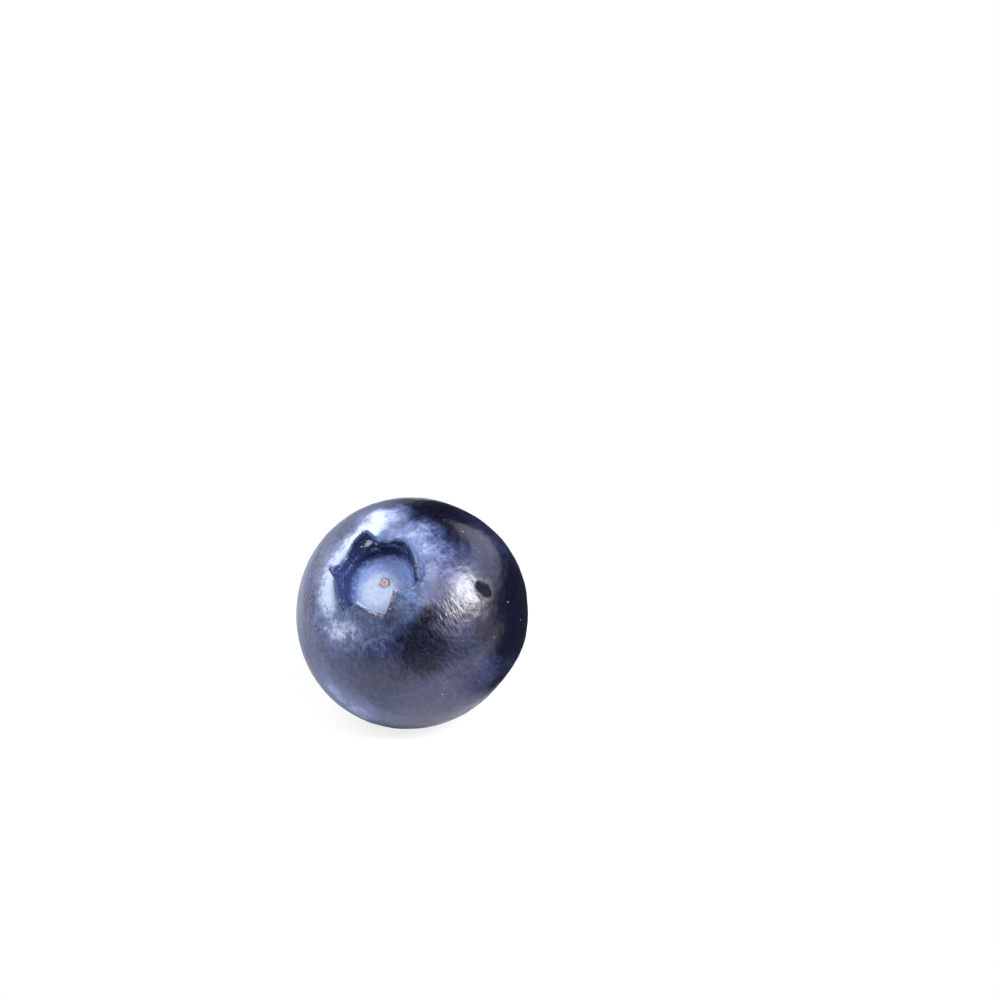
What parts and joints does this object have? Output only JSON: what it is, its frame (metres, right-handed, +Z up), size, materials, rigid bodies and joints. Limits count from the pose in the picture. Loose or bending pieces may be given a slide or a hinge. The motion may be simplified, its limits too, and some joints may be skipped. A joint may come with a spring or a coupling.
{
  "type": "blueberry",
  "caption": "Picked blueberry lying on its side with its ragged calyx crown up and forward; a round soft fruit that rests on a small flat spot.",
  "frame": {"origin": "middle of the berry's box seen from above, on the surface that its flat spot rests on", "axes": "+Z is up as the berry lies; -Y points to the front, where the calyx crown leans up, forward and a little towards -X"},
  "size_m": [0.0168, 0.016, 0.0159],
  "materials": {
    "berry_skin": "satin"
  },
  "bodies": {
    "root": {"blueberry": "berry_skin"}
  },
  "joints": []
}
